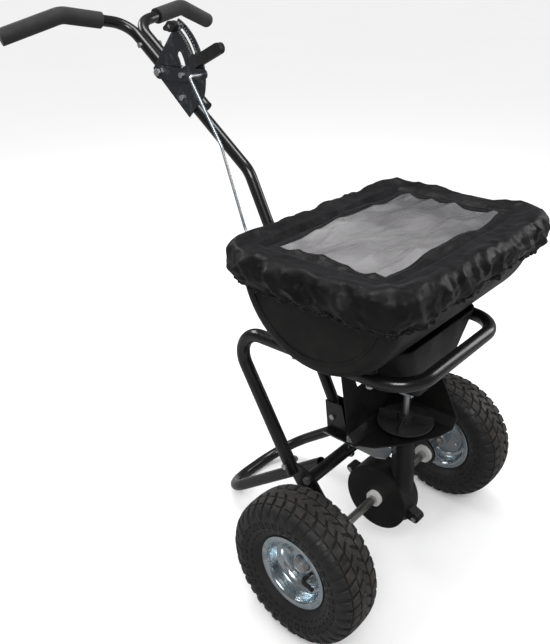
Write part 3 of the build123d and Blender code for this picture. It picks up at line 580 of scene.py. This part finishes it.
def build_rim(side, word, half, outward, body):
    node = f"{word}_rim_{half}"
    low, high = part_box(f"{word}_tyre")
    centre_x = (low.x + high.x) / 2
    plate = [(2.2, radius) for radius in (15.0, 16.2, 17.8, 19.4, *range(21, 42, 2))]
    dish = [(2.8, 42.2), (4.2, 43.0), (6.0, 43.8), (7.2, 45.0), (7.6, 46.6), (7.9, 48.6), (9.0, 50.4)]
    well = [(11.5, 51.5), (16, 52.3), (21, 53.0), (24.8, 53.5)]
    flange = [(27.6, 54.2), (29.8, 55.6), (31.0, 57.6), (31.5, 60.2)]
    flange_lip = [(31.6, 63.0), (31.5, 65.0), (30.9, 66.0)]
    flange_back = [(29.8, 66.0), (29.6, 63.5), (29.4, 60.6), (28.6, 58.2), (26.8, 56.4)]
    well_back = [(24.2, 55.5), (18, 54.6), (11, 53.8), (7.2, 52.4), (5.6, 49.6), (5.2, 47.0)]
    plate_back = [(3.2, 45.4), (1.0, 44.2), (0.0, 42.4), (0.0, 38.0), (0.0, 15.0)]
    face = plate + dish + well + flange + flange_lip
    back = flange_back + well_back + plate_back
    bolts_at = bolt_angle(word)
    segments = 144
    rings = []
    for k in range(segments):
        angle = 2 * math.pi * k / segments
        ring = []
        for index, (out, radius) in enumerate(face + back):
            out, radius = out / 1000, radius / 1000
            if index < len(face) and outward > 0:
                out = pressed_face(out, radius, angle, bolts_at)
            ring.append(about_axle(centre_x + side * outward * out, radius, angle))
        rings.append(ring)
    shells = Shells()
    shells.loft(rings, closed_loop=True)
    made = piece(f"{node}_pressing", shells.points, shells.faces, rim_finish, body)
    made.data.set_sharp_from_angle(angle=math.radians(50))
    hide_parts(node)


def build_bearing(side, word, body):
    """Bearing parts at the outer face of a hub: an outer race ring and a brassy shield inside it."""
    low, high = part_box(f"{word}_hub")
    face = high.x if side > 0 else low.x
    rings = (("race", finishes["steel"], 11.9, 13.9, 0.9), ("shield", bearing_finish, 9.6, 11.7, 0.5))
    for label, finish, inner, outer, proud in rings:
        profile = [(-0.3, inner), (proud - 0.25, inner), (proud, inner + 0.3), (proud, outer - 0.3),
                   (proud - 0.25, outer), (-0.3, outer)]
        shells = revolve([(out / 1000, radius / 1000) for out, radius in profile], face, side, 72)
        made = piece(f"{word}_bearing_{label}", shells.points, shells.faces, finish, body)
        made.data.set_sharp_from_angle(angle=math.radians(40))


def build_wheel_rivets(side, word, body):
    """Two small peened rivets between the bolts, where the rim halves are tacked together."""
    low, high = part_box(f"{word}_tyre")
    centre_x = (low.x + high.x) / 2
    shells = Shells()
    for turn in (0.5, 2.5):
        angle = bolt_angle(word) + turn * math.pi / 2
        centre = about_axle(centre_x + side * 0.0002, 0.0345, angle)
        rings = []
        for out, radius in ((0.0, 2.2), (0.6, 2.2), (1.2, 1.7), (1.5, 0.8)):
            turns = np.linspace(0, 2 * math.pi, 14, endpoint=False)
            rings.append([centre + Vector((side * out, radius * math.cos(a), radius * math.sin(a))) / 1000
                          for a in turns])
        shells.loft(rings)
    piece(f"{word}_rim_rivets", shells.points, shells.faces, finishes["fastener"], body)


bearing_finish = bearing_brass()
for side, word, body in ((-1, "right", "free_wheel"), (1, "left", "axle")):
    build_tyre(side, word, body)
    build_rim(side, word, "outer", 1, body)
    build_rim(side, word, "inner", -1, body)
    build_bearing(side, word, body)
    build_wheel_rivets(side, word, body)


# ---------------------------------------------------------------- quadrant scale
class QuadrantScale:
    """White marks and numbers on the near face of the quadrant, in an arc about the lever pivot."""

    def __init__(self):
        low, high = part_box("lever_pivot_bolt")
        self.pivot = (low + high) / 2
        self.face_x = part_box("control_quadrant")[0].x - 0.00005
        self.shells = Shells()

    def spot(self, radius, angle, across=0.0, proud=0.0):
        """Across runs clockwise round the arc as seen from outside."""
        sine, cosine = math.sin(angle), math.cos(angle)
        return Vector((self.face_x - proud, self.pivot.y - radius * cosine - across * sine,
                       self.pivot.z + radius * sine - across * cosine))

    def mark(self, angle, inner, outer, half_width):
        outline = [(inner, -0.6), (inner + 0.0003, -1), (outer - 0.0003, -1), (outer, -0.6),
                   (outer, 0.6), (outer - 0.0003, 1), (inner + 0.0003, 1), (inner, 0.6)]
        self.shells.loft([[self.spot(radius, angle, share * half_width, proud) for radius, share in outline]
                          for proud in (0.0, 0.00018)])

    def number(self, digits, angle, radius, size):
        curve = bpy.data.curves.new("digits", "FONT")
        curve.body = digits
        curve.size = size
        curve.extrude = 0.00009
        curve.align_x = curve.align_y = "CENTER"
        holder = bpy.data.objects.new("digits", curve)
        mesh = holder.to_mesh()
        points = [self.spot(radius + v.co.y, angle, v.co.x, 0.0001 + v.co.z) for v in mesh.vertices]
        self.shells.add(points, [tuple(p.vertices) for p in mesh.polygons])
        holder.to_mesh_clear()
        bpy.data.objects.remove(holder)
        bpy.data.curves.remove(curve)


def build_scale():
    scale = QuadrantScale()
    numbers = 12
    first_angle, half_step = 57, 1.5
    marks_outer, long_inner, short_inner = 0.0993, 0.0945, 0.0965
    for step in range(2 * numbers - 1):
        angle = math.radians(first_angle - half_step * step)
        numbered = step % 2 == 0
        scale.mark(angle, long_inner if numbered else short_inner, marks_outer, 0.00035)
        if numbered:
            scale.number(str(step // 2 + 1), angle, 0.1117, 0.0046)
    piece("quadrant_scale_marks", scale.shells.points, scale.shells.faces, scale_ink(), "frame",
          smooth=False)


build_scale()


# ---------------------------------------------------------------- rain cover
def crease(x, y, z):
    """Sharp-crested folds: 0 in the hollows, 1 along the crests."""
    return 1 - min(1.0, 2.4 * abs(noise.noise(Vector((x, y, z)))))


def dent(x, y, z):
    """Crumpled cloth: shallow hollows, 0 at their bottoms, that meet in sharp ridges."""
    return noise.voronoi(Vector((x, y, z)))[0][0]


def ease(value, start, end):
    share = min(1.0, max(0.0, (value - start) / (end - start)))
    return share * share * (3 - 2 * share)


class Cover:
    """The sewn cover as one sheet: a grid over the window, then rings out to the rim and down the skirt.

    A point's reach runs from -1 at the middle of the window to 0 at its edge, 1 at the hopper rim
    and 2 at the hem. Columns count the way round, from the corner at low X and low Y.
    """

    across_count = 120
    along_count = 72
    border_rings = 16
    skirt_rings = 28
    binding = 0.0010
    ease_round_rim = 0.002
    sewn_skirt = 0.078
    block_half_width = 0.055

    def __init__(self):
        low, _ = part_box("rain_cover")
        window_low, window_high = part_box("cover_window")
        rim_low, rim_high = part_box("hopper")
        self.window_half = (window_high - window_low) / 2
        self.window_middle = (window_low + window_high) / 2
        self.rim_half = (rim_high - rim_low) / 2
        self.rim_middle = (rim_low + rim_high) / 2
        self.rim_top = rim_high.z
        self.top = rim_high.z + 0.0035
        self.hem = low.z
        self.loop = 2 * (self.across_count + self.along_count)
        self.points, self.flat, self.places = [], [], []
        self.window_faces, self.cloth_faces = [], []
        self.lay_window()
        self.rings = [self.window_edge()]
        for ring in range(1, self.border_rings + self.skirt_rings + 1):
            self.lay_ring(ring)
        self.sculpt()

    def angle(self, column):
        return 2 * math.pi * column / self.loop

    def side(self, column):
        """The side a column is on, and the share of the way along that side."""
        for side, count in enumerate((self.across_count, self.along_count) * 2):
            if column < count:
                return side, column / count
            column -= count

    def lay_window(self):
        nx, ny = self.across_count, self.along_count
        for j in range(ny + 1):
            for i in range(nx + 1):
                across, along = 2 * i / nx - 1, 2 * j / ny - 1
                x = self.window_middle.x + self.window_half.x * across
                y = self.window_middle.y + self.window_half.y * along
                self.points.append(Vector((x, y, self.top)))
                self.flat.append((x, y))
                self.places.append((max(abs(across), abs(along)) - 1, None))
        for j in range(ny):
            for i in range(nx):
                a = j * (nx + 1) + i
                face = (a, a + 1, a + nx + 2, a + nx + 1)
                self.window_faces.append(face)
                if i in (0, nx - 1) or j in (0, ny - 1):
                    self.cloth_faces.append(face)

    def window_edge(self):
        """Indices round the window, one for each column."""
        nx, ny = self.across_count, self.along_count
        corners = [(0, 0), (nx, 0), (nx, ny), (0, ny)]
        edge = []
        for side, (i, j) in enumerate(corners):
            step_i, step_j = ((1, 0), (0, 1), (-1, 0), (0, -1))[side]
            for k in range((nx, ny)[side % 2]):
                edge.append((j + step_j * k) * (nx + 1) + i + step_i * k)
        return edge

    def outline(self, column, grow, corner=0.05):
        """A point on the rim's rounded rectangle, grown outwards."""
        side, share = self.side(column)
        hx, hy = self.rim_half.x + grow, self.rim_half.y + grow
        radius = corner + grow
        length = (2 * (hx - radius), 2 * (hy - radius))[side % 2]
        arc = math.pi * radius / 4
        run = share * (length + 2 * arc)
        if run < arc:
            turn, along = -math.pi / 4 + run / radius, -length / 2
        elif run > arc + length:
            turn, along = (run - arc - length) / radius, length / 2
        else:
            turn, along = 0.0, run - arc - length / 2
        x = along + radius * math.sin(turn)
        y = radius - (hy, hx)[side % 2] - radius * math.cos(turn)
        for _ in range(side):
            x, y = -y, x
        return Vector((self.rim_middle.x + x, self.rim_middle.y + y, 0))

    def outward(self, column):
        return (self.outline(column, 0.012) - self.outline(column, self.ease_round_rim)).normalized()

    def lay_ring(self, ring):
        start = len(self.points)
        for column in range(self.loop):
            edge = Vector((*self.flat[self.rings[0][column]], 0))
            if ring <= self.border_rings:
                reach = ring / self.border_rings
                spot = edge.lerp(self.outline(column, self.ease_round_rim), reach)
                height = self.top
            else:
                reach = 1 + (ring - self.border_rings) / self.skirt_rings
                spot = self.outline(column, self.ease_round_rim)
                height = self.top - (reach - 1) * (self.top - self.hem)
            sewn = spot
            if reach > 1:
                sewn = self.outline(column, self.ease_round_rim + self.sewn_skirt * (reach - 1))
            self.points.append(Vector((spot.x, spot.y, height)))
            self.flat.append((sewn.x, sewn.y))
            self.places.append((reach, column))
        before = self.rings[-1]
        for k in range(self.loop):
            n = (k + 1) % self.loop
            self.cloth_faces.append((before[k], start + k, start + n, before[n]))
        self.rings.append(list(range(start, start + self.loop)))

    def corner_fold(self, column):
        """A fold gathered at each corner, the largest at the first."""
        total = 0.0
        corners = (0, self.across_count, self.across_count + self.along_count, self.loop - self.along_count)
        for corner, height in zip(corners, (0.010, 0.004, 0.004, 0.005)):
            away = abs(column - corner + 1.5)
            away = min(away, self.loop - away)
            total += height * math.exp(-(away / 3.2) ** 2)
        return total

    def lift(self, p, reach, column):
        """Height of the top over its smooth drape: sagging in the hopper's mouth, puckered at the edge."""
        sag = 0.013 * (1 - ((reach + 1) / 2) ** 3)
        height = 0.0060 * noise.noise(Vector((p.x * 9, p.y * 14, 1.7))) - sag
        stiff = ease(reach, 0.35, 0.0)
        height += stiff * 0.0060 * crease(p.x * 7 + p.y * 9, p.y * 15 - p.x * 3, 4.0)
        height += stiff * 0.0090 * dent(p.x * 11, p.y * 17, 2.0)
        if reach > 0:
            a = self.angle(column)
            pull = crease(math.cos(a) * 5, math.sin(a) * 5, reach * 0.9)
            height += reach * (0.0035 * pull + 0.0050 * dent(p.x * 15, p.y * 15, 5.0))
            height += reach * 0.35 * self.corner_fold(column)
        return height

    def slack(self, drop, column):
        """How far the skirt stands out: a belly, upright folds, crumples and the elastic's gathers."""
        a = self.angle(column)
        x, y = math.cos(a), math.sin(a)
        belly = 0.006 * math.sin(math.pi * min(1.0, drop * 1.15))
        upright = crease(x * 5.5, y * 5.5, drop * 0.8 + 5) * (0.0025 + 0.0045 * drop)
        crumpled = 0.013 * dent(x * 8.5, y * 8.5, drop * 1.9 + 11)
        crumpled += 0.0055 * dent(x * 19, y * 19, drop * 4.4 + 3)
        phase = 5.0 * noise.noise(Vector((x * 5, y * 5, 2)))
        strong = 0.35 + 1.3 * abs(noise.noise(Vector((x * 7, y * 7, 8))))
        gathers = 0.0036 * strong * ease(drop, 0.6, 1.0) * math.sin(a * 64 + phase)
        tuck = 0.010 * ease(drop, 0.66, 1.0)
        out = belly + upright + crumpled + gathers - tuck + self.corner_fold(column) * drop ** 0.5
        from_middle = abs(self.outline(column, 0).x - self.rim_middle.x)
        over_block = column < self.across_count and from_middle < self.block_half_width
        return max(out, -0.001 if over_block or drop < 0.6 else -0.007)

    def sculpt(self):
        for index, (reach, column) in enumerate(self.places):
            p = self.points[index]
            if reach <= 1:
                fade = min(1.0, 1 - reach)
                drift_x, drift_y = (0.0065 * fade * noise.noise(Vector((p.x * 15, p.y * 15, layer)))
                                    for layer in (6.3, 27.8))
                moved = Vector((p.x + drift_x, p.y + drift_y, p.z + self.lift(p, reach, column)))
                moved.z -= 0.0025 * ease(reach, 0.88, 1.0)
                if reach > 0.4:
                    moved.z = max(moved.z, self.rim_top + 0.0014)
            else:
                drop = reach - 1
                rim_lift = self.lift(Vector((p.x, p.y, self.top)), 1.0, column)
                moved = p + self.outward(column) * self.slack(drop, column) * ease(drop, -0.12, 0.2)
                moved.z += rim_lift * (1 - ease(drop, 0.0, 0.35)) - 0.0025 * (1 - drop)
                moved.z += 0.0035 * drop * noise.noise(Vector((p.x * 24, p.y * 24, 3.3)))
            self.points[index] = moved

    def path(self, ring, pitch, outwards=0.0, upwards=0.0):
        """Equally spaced points round a ring, closed, pushed off the cloth."""
        spots = [self.points[i] + self.outward(k) * outwards + Vector((0, 0, upwards))
                 for k, i in enumerate(self.rings[ring])]
        spots.append(spots[0])
        length = sum((b - a).length for a, b in zip(spots, spots[1:]))
        return [Vector(p) for p in resample(np.array(spots), round(length / pitch) + 1)]


def sheet_piece(name, cover, faces, drop, finish, thickness):
    """A piece cut from the cover's sheet, with its sewing pattern as UV map in metres."""
    used = sorted({index for face in faces for index in face})
    order = {index: place for place, index in enumerate(used)}
    points = [cover.points[index] - Vector((0, 0, drop)) for index in used]
    renumbered = [tuple(order[index] for index in face) for face in faces]
    made = piece(name, points, renumbered, finish, "rain_cover")
    layer = made.data.uv_layers.new(name="pattern")
    for corner in made.data.loops:
        layer.data[corner.index].uv = cover.flat[used[corner.vertex_index]]
    sheet = made.modifiers.new("thickness", "SOLIDIFY")
    sheet.thickness = thickness
    sheet.offset = 0.0
    return made


def stitch_row(name, path):
    """Short rounded stitches, one for each step of the path."""
    shells = Shells()
    for a, b in zip(path, path[1:]):
        along = (b - a).normalized()
        ends = [a.lerp(b, share) for share in (0.12, 0.2, 0.4, 0.6, 0.8, 0.88)]
        sizes = (0.00015, 0.00042, 0.00050, 0.00050, 0.00042, 0.00015)
        side = along.cross(Vector((0, 0, 1))).normalized()
        up = side.cross(along)
        rings = []
        for spot, size in zip(ends, sizes):
            turns = np.linspace(0, 2 * math.pi, 6, endpoint=False)
            rings.append([spot + (side * math.cos(t) + up * math.sin(t)) * size for t in turns])
        shells.loft(rings)
    piece(name, shells.points, shells.faces, stitch_finish, "rain_cover")


def build_hem(cover):
    """The elastic in its rolled hem, pinched into small ruffles."""
    path = cover.path(-1, 0.0022, outwards=-0.0004)[:-1]
    rings = []
    for k, spot in enumerate(path):
        along = (path[(k + 1) % len(path)] - path[k - 1]).normalized()
        side = along.cross(Vector((0, 0, 1))).normalized()
        up = side.cross(along)
        size = 0.0024 + 0.0006 * math.sin(k * 1.26) + 0.0007 * noise.noise(spot * 160)
        rings.append([spot + (side * math.cos(t) * 0.85 + up * math.sin(t) * 1.25) * size
                      for t in np.linspace(0, 2 * math.pi, 10, endpoint=False)])
    shells = Shells()
    shells.loft(rings, closed_loop=True)
    hem = piece("cover_elastic_hem", shells.points, shells.faces, finishes["cover_fabric"], "rain_cover")
    hem.data.uv_layers.new(name="pattern")


stitch_finish = thread()
cover = Cover()
film_piece = sheet_piece("cover_window_film", cover, cover.window_faces, cover.binding,
                         finishes["cover_film"], 0.0006)
cloth_piece = sheet_piece("cover_cloth", cover, cover.cloth_faces, 0.0, finishes["cover_fabric"],
                          0.0009)
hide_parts("cover_window")
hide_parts("rain_cover")
build_hem(cover)
stitch_row("cover_window_stitches", cover.path(1, 0.0050, upwards=0.0007))
stitch_row("cover_hem_stitches", cover.path(-4, 0.0050, outwards=0.0007))


# ---------------------------------------------------------------- camera, floor and lights
def aim(thing, location, target):
    thing.location = location
    thing.rotation_euler = (target - location).to_track_quat("-Z", "Y").to_euler()


def area_light(name, offset, size, power, target):
    light = bpy.data.lights.new(name, "AREA")
    light.shape = "RECTANGLE"
    light.size, light.size_y = size
    light.energy = power
    holder = bpy.data.objects.new(name, light)
    bpy.context.scene.collection.objects.link(holder)
    aim(holder, axle_middle + Vector(offset), target)
    return holder


def build_camera():
    azimuth, pitch, roll = (math.radians(angle) for angle in (-49.18, 22.44, -0.44))
    right = Vector((math.cos(azimuth), math.sin(azimuth), 0))
    level_back = Vector((math.sin(azimuth), -math.cos(azimuth), 0))
    back = level_back * math.cos(pitch) + Vector((0, 0, math.sin(pitch)))
    up = back.cross(right)
    rolled_right = right * math.cos(roll) + up * math.sin(roll)
    rolled_up = up * math.cos(roll) - right * math.sin(roll)
    lens = bpy.data.cameras.new("camera")
    lens.lens = 40.85
    lens.shift_x = -0.0244
    lens.shift_y = -0.0930
    camera = bpy.data.objects.new("camera", lens)
    bpy.context.scene.collection.objects.link(camera)
    camera.matrix_world = Matrix((rolled_right, rolled_up, back)).transposed().to_4x4()
    camera.location = (-0.95624, axle_middle.y - 0.59856, 1.05877)
    bpy.context.scene.camera = camera


def build_world():
    """White to the camera, softer to surfaces and dimmer still in reflections."""
    world = bpy.data.worlds.new("studio")
    world.use_nodes = True
    tree = world.node_tree
    sky = tree.nodes["Background"]
    sky.inputs["Color"].default_value = (1, 1, 1, 1)
    path = tree.nodes.new("ShaderNodeLightPath")
    glossy = tree.nodes.new("ShaderNodeMapRange")
    glossy.inputs["To Min"].default_value = 0.95
    glossy.inputs["To Max"].default_value = 0.14
    tree.links.new(path.outputs["Is Glossy Ray"], glossy.inputs["Value"])
    seen = tree.nodes.new("ShaderNodeMath")
    seen.operation = "MAXIMUM"
    tree.links.new(path.outputs["Is Camera Ray"], seen.inputs[0])
    tree.links.new(glossy.outputs["Result"], seen.inputs[1])
    tree.links.new(seen.outputs["Value"], sky.inputs["Strength"])
    bpy.context.scene.world = world


def build_floor():
    """A pale floor that throws only a little light back under the machine."""
    f = Finish("floor", (0.9, 0.9, 0.9), 0.95)
    path = f.tree.nodes.new("ShaderNodeLightPath")
    pale = f.mix(f.noise(0.8, 2), (0.92, 0.92, 0.92), (0.94, 0.94, 0.94))
    f.link(f.mix(path.outputs["Is Camera Ray"], (0.22, 0.22, 0.22), pale), "Base Color")
    f.shader.inputs["Specular IOR Level"].default_value = 0.0
    reach = 30
    corners = [(-reach, -reach, 0), (reach, -reach, 0), (reach, reach, 0), (-reach, reach, 0)]
    piece("floor", corners, [(0, 1, 2, 3)], f.material, None, smooth=False)


build_camera()
build_world()
build_floor()
middle = axle_middle + Vector((0, 0.25, 0.35))
studio = [
    area_light("key_light", (-1.6, -1.2, 2.1), (1.2, 0.9), 30, middle),
    area_light("top_light", (0.1, 0.3, 2.5), (1.5, 0.8), 24, middle),
    area_light("right_light", (1.8, -0.9, 1.2), (0.7, 1.3), 10, middle),
    area_light("back_light", (-0.4, 2.2, 1.7), (1.3, 0.6), 14, middle),
]
bpy.context.scene.view_settings.view_transform = "Standard"
